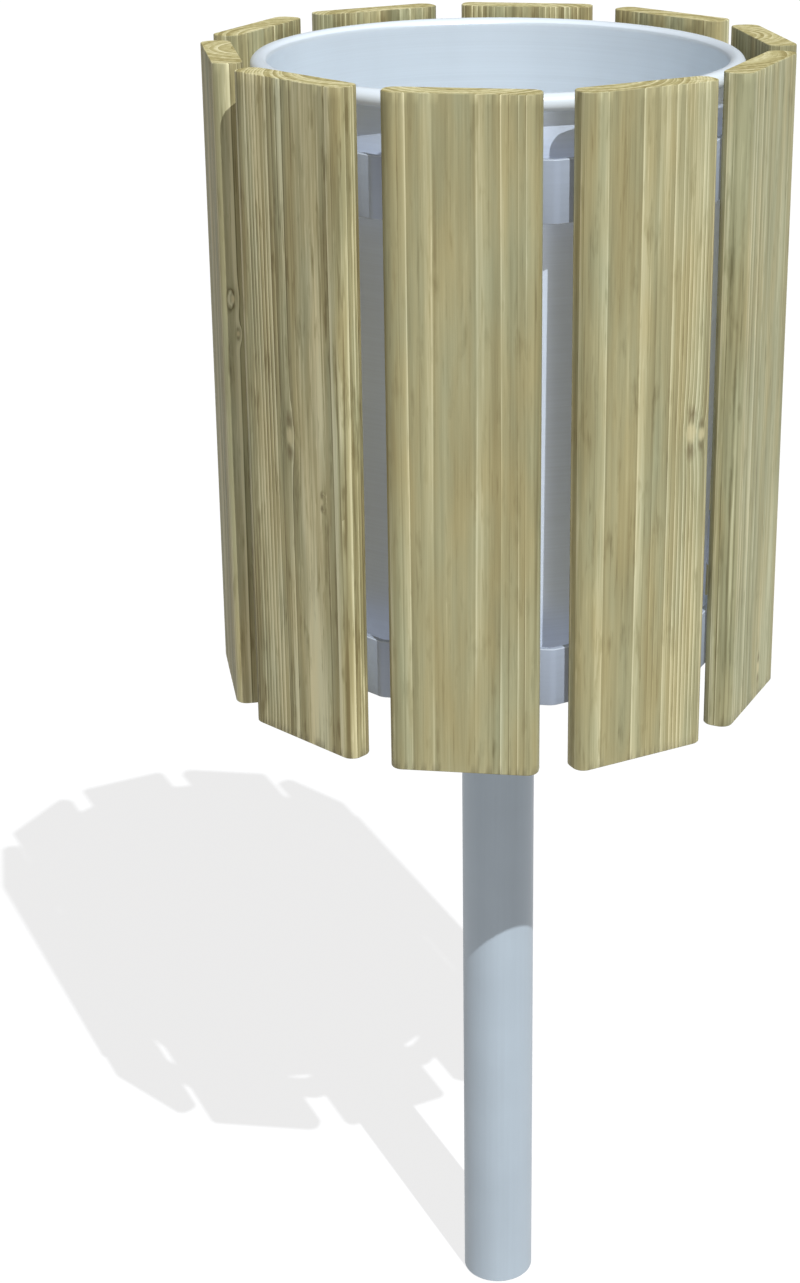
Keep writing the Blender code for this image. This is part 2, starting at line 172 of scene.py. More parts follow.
# Each board: its pith across and behind the outer face, ring width, tone from warm to grey-green,
# lightness, contrast, and up to two knots as (across, inwards, up, radius).
BOARDS = [
    ((-0.005, 0.056), 0.0034, 0.30, -0.02, 0.74, []),
    ((-0.024, 0.056), 0.0023, 0.25, 0.03, 0.95,
     [(0.036, 0.0, 0.249, 0.0056), (0.045, 0.0, 0.247, 0.0034)]),
    ((0.018, 0.062), 0.0034, 0.70, 0.10, 1.00, [(0.013, 0.0, 0.024, 0.0035)]),
    ((0.006, 0.048), 0.0029, 0.60, -0.03, 1.15, [(-0.022, 0.0, 0.330, 0.0060)]),
    ((-0.026, 0.070), 0.0036, 0.45, 0.04, 0.95, []),
    ((0.010, 0.052), 0.0030, 0.20, -0.04, 1.30, [(0.016, 0.0, 0.140, 0.0070)]),
    ((-0.008, 0.058), 0.0033, 0.70, 0.02, 1.00, []),
    ((0.022, 0.064), 0.0031, 0.40, 0.00, 1.20, [(-0.030, 0.0, 0.400, 0.0045)]),
    ((-0.014, 0.046), 0.0032, 0.35, 0.00, 1.20,
     [(0.055, 0.009, 0.328, 0.0020), (0.055, 0.012, 0.301, 0.0015)]),
    ((0.020, 0.060), 0.0022, 0.20, -0.01, 1.60,
     [(-0.003, 0.0, 0.242, 0.0050), (0.029, 0.0, 0.199, 0.0022)]),
]
# Painted shade: how much darker a slat's inner face is made, as it stands in shade inside the bin.
INNER_FACE_PAINTED_SHADE = 0.24
BOARD_LIGHTNESS = 0.53              # of a board whose own lightness is 0
NO_KNOT = (9.0, 9.0, 0.0)           # too far off to show


# ---- Building blocks --------------------------------------------------------------------------

def on_radius(radius, side, height, across=0.0):
    """A point on the radius through the middle of a slat, or beside it."""
    turn = PITCH * side
    return Vector((radius * sin(turn) + across * cos(turn),
                   -radius * cos(turn) + across * sin(turn), height))


def facing_out(side):
    """Turns +Z from the bin's axis towards the middle of a slat."""
    return Matrix.Rotation(PITCH * side, 4, "Z") @ Matrix.Rotation(pi / 2, 4, "X")


def arc(centre, radius, first, sweep, steps):
    """Points of an arc, both ends included."""
    return [(centre[0] + radius * cos(first + sweep * step / steps),
             centre[1] + radius * sin(first + sweep * step / steps))
            for step in range(steps + 1)]


def make_mesh(name, verts, faces, matrix=Matrix.Identity(4)):
    """A closed mesh with its faces pointing out, moved from its own frame to the row frame."""
    mesh = bpy.data.meshes.new(name)
    mesh.from_pydata([matrix @ Vector(point) for point in verts], [], faces)
    bm = bmesh.new()
    bm.from_mesh(mesh)
    bmesh.ops.recalc_face_normals(bm, faces=bm.faces)
    bm.to_mesh(mesh)
    bm.free()
    mesh.shade_smooth()
    mesh.set_sharp_from_angle(angle=SMOOTH_ANGLE)
    return mesh


def store_numbers(mesh, name, numbers):
    """Keep one number per vertex for a finish to read."""
    layer = mesh.attributes.new(name, "FLOAT", "POINT")
    layer.data.foreach_set("value", numbers)


def put(name, mesh, body, material, nodes=()):
    """Show a mesh as a piece that rides on a body and stands for CAD nodes."""
    piece = bpy.data.objects.new(name, mesh)
    bpy.context.scene.collection.objects.link(piece)
    if material:
        mesh.materials.append(material)
    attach(piece, body)
    if nodes:
        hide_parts(*nodes)
    return piece


def without_repeats(corners):
    """A face's corners with each repeat of the one before left out."""
    return [corner for place, corner in enumerate(corners) if corner != corners[place - 1]]


def lathe(rows, segments, closed=False):
    """Vertices and faces turned about Z from (radius, height) rows.

    A radius may be a function of the angle, and a row of radius 0 is one point on the axis.
    """
    verts = []
    rings = []
    for radius, height in rows:
        if radius == 0:
            rings.append([len(verts)] * segments)
            verts.append((0.0, 0.0, height))
            continue
        rings.append(range(len(verts), len(verts) + segments))
        for index in range(segments):
            angle = tau * index / segments
            reach = radius(angle) if callable(radius) else radius
            verts.append((reach * cos(angle), reach * sin(angle), height))
    pairs = list(zip(rings, rings[1:]))
    if closed:
        pairs.append((rings[-1], rings[0]))
    faces = []
    for low, high in pairs:
        for index in range(segments):
            after = (index + 1) % segments
            faces.append(without_repeats([low[index], low[after], high[after], high[index]]))
    return verts, faces


def hexagon(across_flats):
    """Radius of a hexagon by angle."""
    def radius(angle):
        return across_flats / 2 / cos((angle + pi / 6) % (pi / 3) - pi / 6)
    return radius


def lobed(mean, depth):
    """Radius of a six-lobed drive by angle."""
    def radius(angle):
        return mean + depth * cos(6 * angle)
    return radius


def thread_row(core, crest, pitch, height):
    """Radius by angle of a thread's section at one height."""
    def radius(angle):
        phase = (height / pitch - angle / tau) % 1.0
        return core + (crest - core) * max(0.0, 1 - abs(phase - 0.5) * 2.6)
    return radius


def thread_rows(core, crest, pitch, start, end):
    """Rows of a screw thread between two heights."""
    count = round((end - start) / pitch * THREAD_ROWS_PER_TURN)
    heights = [start + (end - start) * index / count for index in range(count + 1)]
    return [(thread_row(core, crest, pitch, height), height) for height in heights]


def offset_outline(outline, inset):
    """A convex outline moved inwards."""
    moved = []
    count = len(outline)
    for index, corner in enumerate(outline):
        point = Vector(corner)
        back = (point - Vector(outline[index - 1])).normalized()
        ahead = (Vector(outline[(index + 1) % count]) - point).normalized()
        half_turn = back.angle_signed(ahead) / 2
        middle = Vector((-(back.y + ahead.y), back.x + ahead.x)).normalized()
        moved.append(point + middle * inset / cos(half_turn))
    return moved


def stack(layers):
    """A solid through stacked outlines of equal count, each an (outline, height)."""
    verts = [(point[0], point[1], height) for outline, height in layers for point in outline]
    count = len(layers[0][0])
    faces = [list(range(count))[::-1], list(range(len(verts) - count, len(verts)))]
    for level in range(len(layers) - 1):
        for index in range(count):
            after = (index + 1) % count
            low = level * count
            faces.append([low + index, low + after, low + count + after, low + count + index])
    return verts, faces


def eased(bottom, top):
    """(inset, height) steps up the side of a plate with rounded edges."""
    turns = [pi / 2 * step / ARRIS_STEPS for step in range(ARRIS_STEPS + 1)]
    foot = [(STEEL_ARRIS * (1 - sin(turn)), bottom + STEEL_ARRIS * (1 - cos(turn))) for turn in turns]
    return foot + [(inset, bottom + top - height) for inset, height in foot[::-1]]


def drilled(mesh, cutters):
    """The mesh with the cutters' solids taken out of it."""
    block = bpy.data.objects.new("block", mesh)
    drill = bpy.data.objects.new("drill", joined(cutters))
    for helper in (block, drill):
        bpy.context.scene.collection.objects.link(helper)
    boolean = block.modifiers.new("drilled", "BOOLEAN")
    boolean.operation = "DIFFERENCE"
    boolean.solver = "EXACT"
    boolean.object = drill
    settled = block.evaluated_get(bpy.context.evaluated_depsgraph_get())
    result = bpy.data.meshes.new_from_object(settled)
    result.name = mesh.name
    for helper in (block, drill):
        bpy.data.objects.remove(helper)
    result.set_sharp_from_angle(angle=SMOOTH_ANGLE)
    return result


def joined(meshes):
    """Several meshes in one."""
    bm = bmesh.new()
    for mesh in meshes:
        bm.from_mesh(mesh)
        bpy.data.meshes.remove(mesh)
    together = bpy.data.meshes.new("joined")
    bm.to_mesh(together)
    bm.free()
    return together


# ---- Node helpers -----------------------------------------------------------------------------

def feed(tree, socket, value):
    """Link a socket, or set its value."""
    if isinstance(value, bpy.types.NodeSocket):
        tree.links.new(value, socket)
    else:
        socket.default_value = value


def calc(tree, operation, *values):
    """A Math node."""
    node = tree.nodes.new("ShaderNodeMath")
    node.operation = operation
    for socket, value in zip(node.inputs, values):
        feed(tree, socket, value)
    return node.outputs[0]


def vector_calc(tree, operation, output, *values):
    """A Vector Math node."""
    node = tree.nodes.new("ShaderNodeVectorMath")
    node.operation = operation
    for socket, value in zip(node.inputs, values):
        feed(tree, socket, value)
    return node.outputs[output]


def grade(tree, value, stops, interpolation="LINEAR"):
    """A Color Ramp; stops are (position, grey or colour)."""
    node = tree.nodes.new("ShaderNodeValToRGB")
    node.color_ramp.interpolation = interpolation
    ramp = node.color_ramp.elements
    while len(ramp) < len(stops):
        ramp.new(0.5)
    for element, (position, colour) in zip(ramp, stops):
        element.position = position
        element.color = opaque(colour if isinstance(colour, tuple) else (colour,) * 3)
    feed(tree, node.inputs[0], value)
    return node.outputs[0]


def mixed(tree, blend, factor, first, second):
    """A Mix Color node."""
    node = tree.nodes.new("ShaderNodeMix")
    node.data_type = "RGBA"
    node.blend_type = blend
    feed(tree, node.inputs["Factor"], factor)
    feed(tree, node.inputs[6], first)
    feed(tree, node.inputs[7], second)
    return node.outputs[2]


def stretched(tree, vector, scale):
    """Coordinates multiplied per axis."""
    return vector_calc(tree, "MULTIPLY", 0, vector, scale)


def noise_at(tree, vector, scale=1.0, detail=2.0, rough=0.5):
    """A Noise Texture's value."""
    node = tree.nodes.new("ShaderNodeTexNoise")
    feed(tree, node.inputs["Vector"], vector)
    node.inputs["Scale"].default_value = scale
    node.inputs["Detail"].default_value = detail
    node.inputs["Roughness"].default_value = rough
    return node.outputs["Fac"]


def attribute(tree, name, output="Fac"):
    """A mesh attribute."""
    node = tree.nodes.new("ShaderNodeAttribute")
    node.attribute_name = name
    return node.outputs[output]


def bumped(tree, shader, height, strength, distance):
    """Feed a height to the shader's normal."""
    node = tree.nodes.new("ShaderNodeBump")
    node.inputs["Strength"].default_value = strength
    node.inputs["Distance"].default_value = distance
    tree.links.new(height, node.inputs["Height"])
    tree.links.new(node.outputs["Normal"], shader.inputs["Normal"])


def new_material(name):
    """A material, its node tree and its Principled shader."""
    material = bpy.data.materials.new(name)
    material.use_nodes = True
    return material, material.node_tree, material.node_tree.nodes["Principled BSDF"]


def srgb(red, green, blue):
    """A colour given as 0 to 255 in sRGB, as linear values."""
    def linear(value):
        share = value / 255
        return share / 12.92 if share <= 0.04045 else ((share + 0.055) / 1.055) ** 2.4
    return (linear(red), linear(green), linear(blue))


def opaque(colour):
    """A colour with full alpha."""
    return (*colour, 1.0)


# ---- Materials --------------------------------------------------------------------------------

def wood_material():
    """Pressure-treated pine: growth rings, fibres, knots and sawn ends."""
    material, tree, shader = new_material("treated_pine")
    place = attribute(tree, "grain_place", "Vector")
    rings = attribute(tree, "rings")
    cores = 0.0
    smudges = 0.0
    ragged = noise_at(tree, stretched(tree, place, (300.0, 300.0, 90.0)), detail=3.0)
    ragged = calc(tree, "MULTIPLY_ADD", ragged, 1.4, -0.7)
    for name in ("knot_a", "knot_b"):
        knot = vector_calc(tree, "ADD", 0, attribute(tree, name, "Vector"), ragged)
        flow = vector_calc(tree, "LENGTH", 1, stretched(tree, knot, (0.55, 0.20, 0.0)))
        falling = calc(tree, "MULTIPLY", calc(tree, "MULTIPLY", flow, flow), -1.0)
        swell = calc(tree, "POWER", e, falling)
        rings = calc(tree, "MULTIPLY_ADD", swell, 0.6, rings)
        near = vector_calc(tree, "LENGTH", 1, stretched(tree, knot, (1.0, 0.60, 0.0)))
        core = grade(tree, near, [(0.0, 1.0), (0.45, 0.9), (1.0, 0.0)])
        cores = calc(tree, "ADD", core, cores)
        folded = vector_calc(tree, "ABSOLUTE", 0, knot)
        beside = vector_calc(tree, "ADD", 0, stretched(tree, folded, (1.0, 0.55, 0.0)), (0.0, -1.35, 0.0))
        smudge = grade(tree, vector_calc(tree, "LENGTH", 1, beside), [(0.0, 1.0), (0.95, 0.0)])
        smudges = calc(tree, "ADD", smudge, smudges)
    index = calc(tree, "FLOOR", rings)
    part = calc(tree, "FRACT", rings)
    ring_tone = tree.nodes.new("ShaderNodeTexWhiteNoise")
    ring_tone.noise_dimensions = "1D"
    feed(tree, ring_tone.inputs["W"], index)
    tone = ring_tone.outputs["Value"]
    line = grade(tree, part, [(0.0, 0.50), (0.06, 1.0), (0.16, 0.62), (0.45, 0.50), (0.84, 0.40),
                              (0.94, 0.10), (1.0, 0.50)])
    fade = noise_at(tree, stretched(tree, place, (45.0, 45.0, 5.0)))
    fade = grade(tree, fade, [(0.36, 0.15), (0.62, 1.0)])
    weight = calc(tree, "MULTIPLY", calc(tree, "ADD", tone, 0.35), fade)
    weight = calc(tree, "MULTIPLY", attribute(tree, "line_strength"), weight)
    line = calc(tree, "MULTIPLY", calc(tree, "SUBTRACT", line, 0.5), weight)
    fibre = noise_at(tree, stretched(tree, place, (1100.0, 1100.0, 18.0)), detail=3.0)
    streak = noise_at(tree, stretched(tree, place, (230.0, 230.0, 3.5)), detail=3.0, rough=0.6)
    patch = noise_at(tree, stretched(tree, place, (45.0, 45.0, 6.0)), detail=2.0)
    hue = noise_at(tree, stretched(tree, place, (60.0, 60.0, 7.0)), detail=2.0)
    dash = noise_at(tree, stretched(tree, place, (380.0, 380.0, 24.0)), detail=2.0)
    dash = grade(tree, dash, [(0.28, 0.80), (0.38, 0.50), (0.60, 0.50), (0.72, 0.0)])
    blotch = noise_at(tree, stretched(tree, place, (140.0, 140.0, 26.0)), detail=3.0)
    blotch = grade(tree, blotch, [(0.58, 0.0), (0.74, 1.0)])
    level = calc(tree, "MULTIPLY_ADD", tone, 0.32, -1.23)
    level = calc(tree, "MULTIPLY_ADD", blotch, -0.26, level)
    level = calc(tree, "MULTIPLY_ADD", line, 1.45, level)
    level = calc(tree, "MULTIPLY_ADD", dash, 0.40, level)
    level = calc(tree, "MULTIPLY_ADD", fibre, 0.36, level)
    level = calc(tree, "MULTIPLY_ADD", streak, 0.80, level)
    level = calc(tree, "MULTIPLY_ADD", patch, 0.62, level)
    level = calc(tree, "MULTIPLY_ADD", level, attribute(tree, "contrast"), attribute(tree, "lightness"))
    tan_wood = grade(tree, level, [(0.05, srgb(118, 104, 63)), (0.34, srgb(153, 142, 98)),
                                   (0.62, srgb(178, 168, 122)), (0.98, srgb(224, 215, 170))])
    green_wood = grade(tree, level, [(0.05, srgb(108, 106, 74)), (0.34, srgb(144, 144, 110)),
                                     (0.62, srgb(171, 171, 135)), (0.98, srgb(214, 214, 178))])
    drift = calc(tree, "MULTIPLY_ADD", hue, 2.6, -1.2)
    drift = calc(tree, "ADD", drift, attribute(tree, "board_tone"))
    tinted = tree.nodes.new("ShaderNodeClamp")
    feed(tree, tinted.inputs["Value"], drift)
    colour = mixed(tree, "MIX", tinted.outputs[0], tan_wood, green_wood)
    smudges = calc(tree, "MULTIPLY", smudges, 0.75)
    colour = mixed(tree, "MIX", smudges, colour, opaque(srgb(96, 80, 48)))
    cores = calc(tree, "MULTIPLY", cores, 0.72)
    colour = mixed(tree, "MIX", cores, colour, opaque(srgb(214, 203, 158)))
    end_level = calc(tree, "MULTIPLY_ADD", tone, 0.55, 0.22)
    end_level = calc(tree, "MULTIPLY_ADD", line, 1.5, end_level)
    end_level = calc(tree, "MULTIPLY_ADD", calc(tree, "SUBTRACT", streak, 0.5), 1.1, end_level)
    end_wood = grade(tree, end_level, [(0.10, srgb(148, 133, 78)), (0.50, srgb(194, 184, 130)),
                                       (0.90, srgb(233, 225, 182))])
    colour = mixed(tree, "MIX", attribute(tree, "sawn_end"), colour, end_wood)
    wear_and_highlight = calc(tree, "MULTIPLY", attribute(tree, "edge_wear_and_painted_highlight"), 0.30)
    colour = mixed(tree, "MIX", wear_and_highlight, colour, opaque(srgb(196, 188, 146)))
    feed(tree, shader.inputs["Base Color"], colour)
    feed(tree, shader.inputs["Roughness"], grade(tree, fibre, [(0.3, 0.56), (0.7, 0.72)]))
    shader.inputs["Specular IOR Level"].default_value = 0.35
    height = calc(tree, "MULTIPLY_ADD", line, 0.5, calc(tree, "MULTIPLY", fibre, 0.7))
    bumped(tree, shader, height, 0.45, 0.0002)
    return material


def steel_material(name, colour, roughness, metallic, drawn_scale, cloud_scale=(14.0, 14.0, 14.0),
                   coat=0.0, wear_and_highlight=0.35, wear_and_highlight_colour=srgb(214, 222, 228), outside_painted_light_tint=None):
    """Coated steel: a fine pebbled coat, slow cloudiness, and edges that wear has made paler and less
    metallic; on the liner's rim the same mix is a painted highlight.

    An outside tint of painted light multiplies the colour where the mesh is flagged as an outside face,
    making the liner's outside lighter and bluer to make up for the shade and warm bounce between the slats.
    """
    material, tree, shader = new_material(name)
    place = tree.nodes.new("ShaderNodeTexCoord").outputs["Object"]
    cloud = noise_at(tree, stretched(tree, place, cloud_scale), 1.0, 3.0)
    drawn = noise_at(tree, stretched(tree, place, drawn_scale), 1.0, 3.0)
    pebble = noise_at(tree, place, 900.0, 1.0)
    dark = tuple(channel * 0.93 for channel in colour)
    light = tuple(min(channel * 1.05, 0.95) for channel in colour)
    tone = calc(tree, "ADD", calc(tree, "MULTIPLY", cloud, 0.6), calc(tree, "MULTIPLY", drawn, 0.4))
    shade = grade(tree, tone, [(0.3, dark), (0.7, light)])
    # Painted light: the outside faces are lightened and blued by the tint.
    if outside_painted_light_tint:
        shade = mixed(tree, "MULTIPLY", attribute(tree, "outer_face"), shade, opaque(outside_painted_light_tint))
    # Paler, less metallic where flagged: wear on the frame's edges, and a painted highlight on the liner's
    # rim.
    if wear_and_highlight:
        wear_and_highlight_mask = attribute(tree, "edge_wear_and_painted_highlight")
        wear_and_highlight_mix = calc(tree, "MULTIPLY", wear_and_highlight_mask, wear_and_highlight)
        shade = mixed(tree, "MIX", wear_and_highlight_mix, shade, opaque(wear_and_highlight_colour))
        feed(tree, shader.inputs["Metallic"], calc(tree, "MULTIPLY_ADD", wear_and_highlight_mask, -metallic, metallic))
    else:
        shader.inputs["Metallic"].default_value = metallic
    feed(tree, shader.inputs["Base Color"], shade)
    rough = grade(tree, drawn, [(0.3, roughness - 0.06), (0.7, roughness + 0.08)])
    feed(tree, shader.inputs["Roughness"], rough)
    shader.inputs["Coat Weight"].default_value = coat
    shader.inputs["Coat Roughness"].default_value = 0.2
    height = calc(tree, "MULTIPLY_ADD", drawn, 0.6, calc(tree, "MULTIPLY", pebble, 0.4))
    bumped(tree, shader, height, 0.25, 0.0001)
    return material


wood = wood_material()
steel = steel_material("satin_coat", srgb(180, 193, 203), 0.44, 0.15, (260.0, 260.0, 6.0))
# Painted shade: the hoops get a darker, bluer copy of the satin coat, standing in for the shade they sit in
# between the slats.
hoop_steel_painted_shade = steel_material("hoop_coat_painted_shade", srgb(160, 170, 186), 0.48, 0.15, (40.0, 40.0, 500.0))
# On this sheet the wear mix paints a highlight on the rim's top and outside.
liner_steel = steel_material("sheet_coat", srgb(214, 224, 231), 0.36, 0.25, (3.0, 3.0, 700.0),
                             cloud_scale=(12.0, 12.0, 1.5), coat=0.2, wear_and_highlight=0.40,
                             # The outside tint is painted light for the liner's outside in the shade between
                             # the slats.
                             wear_and_highlight_colour=srgb(232, 240, 248), outside_painted_light_tint=(1.02, 1.04, 1.14))
zinc = steel_material("zinc_plate", srgb(196, 199, 203), 0.30, 1.0, (500.0, 500.0, 500.0), wear_and_highlight=0.0)


# ---- Slats ------------------------------------------------------------------------------------

def slat_outline(inset):
    """Section of a slat as (x, y, out_x, out_y), starting along the outer face."""
    flat = SLAT_HALF - SLAT_CORNER
    count = round(2 * flat / SLAT_COLUMN)
    columns = [-flat + 2 * flat * index / count for index in range(count + 1)]
    depth = SLAT_THICKNESS
    points = [(x, inset, 0.0, -1.0) for x in columns]
    corners = [(flat, SLAT_CORNER, -pi / 2), (flat, depth - SLAT_CORNER, 0.0),
               (-flat, depth - SLAT_CORNER, pi / 2), (-flat, SLAT_CORNER, pi)]
    for index, (x, y, first) in enumerate(corners):
        for step in range(1, SLAT_CORNER_STEPS):
            turn = first + pi / 2 * step / SLAT_CORNER_STEPS
            reach = SLAT_CORNER - inset
            points.append((x + reach * cos(turn), y + reach * sin(turn), cos(turn), sin(turn)))
        if index in (0, 2):
            side = 1 if index == 0 else -1
            for share in (0.0, 0.5, 1.0):
                level = SLAT_CORNER + share * (depth - 2 * SLAT_CORNER)
                if side < 0:
                    level = depth - level
                points.append((side * (SLAT_HALF - inset), level, side, 0.0))
        if index == 1:
            points += [(column, depth - inset, 0.0, 1.0) for column in columns[::-1]]
    return points


def board_rings(board, number, x, y, z):
    """Growth rings counted from the pith to a point of the board; each board has its own span."""
    pith, width = board[:2]
    drift = 0.0012 * noise.noise(Vector((number * 7.1, 0.5, z * 2.0)))
    sway = 0.0007 * noise.noise(Vector((x * 30.0, number * 3.3, z * 2.5)))
    reach = hypot(x - pith[0] + drift, y - pith[1])
    return (reach + sway) / width + 40 * number


def slat_mesh(number, board):
    """One board with the grain standing a little proud, and the values its finish reads."""
    rows = round(SLAT_LENGTH / SLAT_ROW)
    heights = [SLAT_ARRIS + (SLAT_LENGTH - 2 * SLAT_ARRIS) * index / rows for index in range(rows + 1)]
    plain = slat_outline(0.0)
    eased_outline = slat_outline(SLAT_ARRIS)
    local = [(x, y, 0.0) for x, y, _, _ in eased_outline]
    for height in heights:
        for x, y, out_x, out_y in plain:
            rings = board_rings(board, number, x, y, height)
            sink = GRAIN_RELIEF * (0.5 + 0.5 * cos(tau * rings))
            local.append((x - out_x * sink, y - out_y * sink, height))
    local += [(x, y, SLAT_LENGTH) for x, y, _, _ in eased_outline]
    count = len(plain)
    layers = len(heights) + 2
    faces = []
    for level in range(layers - 1):
        for index in range(count):
            after = (index + 1) % count
            low = level * count
            faces.append((low + index, low + after, low + count + after, low + count + index))
    side_faces = len(faces)
    for start, height in ((0, 0.0), ((layers - 1) * count, SLAT_LENGTH)):
        cap_slat(local, faces, start, count, height)
    points = [on_radius(SLAT_APOTHEM - y, number, SLAT_FOOT + z, x) for x, y, z in local]
    mesh = make_mesh(f"slat_board_{number + 1:02d}", points, faces)
    store_board(mesh, number, board, local, side_faces)
    return mesh


def cap_slat(local, faces, start, count, height):
    """Close an end with loops that shrink onto a line along the middle of the section."""
    spine_half = SLAT_HALF - SLAT_THICKNESS / 2
    outer = list(range(start, start + count))
    edge = [local[index] for index in outer]
    for step in range(1, SLAT_END_LOOPS + 1):
        share = step / SLAT_END_LOOPS
        found = {}
        inner = []
        for x, y, _ in edge:
            spine = min(max(x, -spine_half), spine_half)
            point = (x + (spine - x) * share, y + (SLAT_THICKNESS / 2 - y) * share, height)
            key = (round(point[0], 6), round(point[1], 6))
            if key not in found:
                found[key] = len(local)
                local.append(point)
            inner.append(found[key])
        for index in range(count):
            after = (index + 1) % count
            faces.append(without_repeats([outer[index], outer[after], inner[after], inner[index]]))
        outer = inner


def store_board(mesh, number, board, local, side_faces):
    """Keep a board's own coordinates, rings, knots, wear and the painted shade of its inner face on its mesh.
    """
    pith, _, tone, lightness, contrast, knots = board
    vectors = {"grain_place": [], "knot_a": [], "knot_b": []}
    numbers = {"rings": [], "edge_wear_and_painted_highlight": [], "line_strength": [], "lightness": []}
    for x, y, z in local:
        vectors["grain_place"].append((x, y, z + number))
        for place, name in enumerate(("knot_a", "knot_b")):
            if place < len(knots):
                across, inwards, up, radius = knots[place]
                reach = hypot(x - across, y - inwards)
                vectors[name].append((reach / radius, (z - up) / radius, 0.0))
            else:
                vectors[name].append(NO_KNOT)
        numbers["rings"].append(board_rings(board, number, x, y, z))
        numbers["line_strength"].append(min(0.25 + abs(x - pith[0]) / 0.045, 1.2))
        # Painted shade: darker over the inner rounded corners and fully on the inner face.
        inner = max(y - SLAT_THICKNESS + SLAT_CORNER, 0.0) / SLAT_CORNER
        numbers["lightness"].append(BOARD_LIGHTNESS + lightness - INNER_FACE_PAINTED_SHADE * inner)
        corner = hypot(max(abs(x) - SLAT_HALF + SLAT_CORNER, 0.0),
                       max(abs(y - SLAT_THICKNESS / 2) - SLAT_THICKNESS / 2 + SLAT_CORNER, 0.0))
        end = min(z, SLAT_LENGTH - z)
        on_corner = corner > SLAT_CORNER * 0.98
        numbers["edge_wear_and_painted_highlight"].append(0.25 * exp(-end / 0.002) + 0.3 * on_corner)
    numbers["board_tone"] = [tone] * len(local)
    numbers["contrast"] = [contrast] * len(local)
    for name, values in vectors.items():
        layer = mesh.attributes.new(name, "FLOAT_VECTOR", "POINT")
        layer.data.foreach_set("vector", [part for vector in values for part in vector])
    for name, values in numbers.items():
        store_numbers(mesh, name, values)
    sawn = mesh.attributes.new("sawn_end", "FLOAT", "CORNER")
    flags = []
    for face in mesh.polygons:
        flags += [float(face.index >= side_faces)] * face.loop_total
    sawn.data.foreach_set("value", flags)


def slats():
    """The ten boards."""
    for number, board in enumerate(BOARDS):
        name = f"slat_board_{number + 1:02d}"
        put(name, slat_mesh(number, board), "stand", wood, (f"slat_{number + 1:02d}",))


# ---- Hoops, post and base ---------------------------------------------------------------------

def mark_edges(mesh, turn=radians(20)):
    """Flag the vertices on rounded edges, where a coat rubs thin."""
    mesh.update()
    bm = bmesh.new()
    bm.from_mesh(mesh)
    wear = [0.0] * len(bm.verts)
    for edge in bm.edges:
        if len(edge.link_faces) == 2 and edge.calc_face_angle() > turn:
            for vert in edge.verts:
                wear[vert.index] = 1.0
    bm.free()
    store_numbers(mesh, "edge_wear_and_painted_highlight", wear)
    return mesh


def bore(rows, segments, place):
    """A solid to drill with, turned from its rows and set in its place."""
    return make_mesh("cutter", *lathe(rows, segments), place)


def screw_spots(level):
    """Places of the screw heads on a hoop's inner face."""
    low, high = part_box(f"{level}_screw_01")
    return [on_radius(HOOP_INNER, side, (low.z + high.z) / 2) for side in range(SIDES)]


def hoop(level):
    """Flat bar with eased edges, bent to ten flats and drilled for its screws."""
    low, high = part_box(f"{level}_hoop")
    bar = HOOP_OUTER - HOOP_INNER
    arris = STEEL_ARRIS
    section = []
    for quarter, depth, height in ((-1, bar - arris, low.z + arris), (0, bar - arris, high.z - arris),
                                   (1, arris, high.z - arris), (2, arris, low.z + arris)):
        section += arc((depth, height), arris, quarter * pi / 2, pi / 2, ARRIS_STEPS)
    centre_reach = (HOOP_INNER - HOOP_BEND) / cos(PITCH / 2)
    stations = []
    for side in range(SIDES):
        corner = -pi / 2 + PITCH * (side + 0.5)
        centre = Vector((cos(corner), sin(corner))) * centre_reach
        for step in range(HOOP_BEND_STEPS + 1):
            turn = corner - PITCH / 2 + PITCH * step / HOOP_BEND_STEPS
            stations.append((centre, Vector((cos(turn), sin(turn)))))
    verts = []
    for centre, out in stations:
        for depth, height in section:
            place = centre + out * (HOOP_BEND + depth)
            verts.append((place.x, place.y, height))
    count = len(section)
    faces = []
    for station in range(len(stations)):
        here = station * count
        there = (station + 1) % len(stations) * count
        for index in range(count):
            after = (index + 1) % count
            faces.append((here + index, there + index, there + after, here + after))
    mesh = make_mesh(f"hoop_{level}", verts, faces)
    cutters = []
    head = SCREW_HEAD + HOLE_PLAY
    shank = SCREW_CORE + HOLE_PLAY
    rows = [(0, -DRILL_PAST), (head, -DRILL_PAST), (head, 0.0), (shank, head - shank),
            (shank, bar + DRILL_PAST), (0, bar + DRILL_PAST)]
    for side, spot in enumerate(screw_spots(level)):
        cutters.append(bore(rows, 24, Matrix.Translation(spot) @ facing_out(side)))
    put(f"hoop_{level}", mark_edges(drilled(mesh, cutters)), "stand", hoop_steel_painted_shade, (f"{level}_hoop",))


def screws(level):
    """Countersunk wood screws with a six-lobed drive."""
    cone_end = SCREW_HEAD_EDGE + SCREW_HEAD - SCREW_CORE
    rows = [(0, SCREW_SOCKET), (lobed(0.0015, 0.00025), SCREW_SOCKET), (lobed(0.0016, 0.0003), HEAD_ARRIS),
            (lobed(0.0018, 0.0003), 0.0), (SCREW_HEAD - HEAD_ARRIS, 0.0), (SCREW_HEAD, HEAD_ARRIS),
            (SCREW_HEAD, SCREW_HEAD_EDGE), (SCREW_CORE, cone_end), (SCREW_CORE, SCREW_NECK_END)]
    rows += thread_rows(SCREW_ROOT, SCREW_CREST, SCREW_PITCH, SCREW_NECK_END + 0.0005, 0.0165)
    rows += [(0.0008, 0.0188), (0, SCREW_LENGTH)]
    for side, spot in enumerate(screw_spots(level)):
        mesh = make_mesh("screw", *lathe(rows, 24), Matrix.Translation(spot) @ facing_out(side))
        put(f"wood_screw_{level}_{side + 1:02d}", mesh, "stand", zinc, (f"{level}_screw_{side + 1:02d}",))


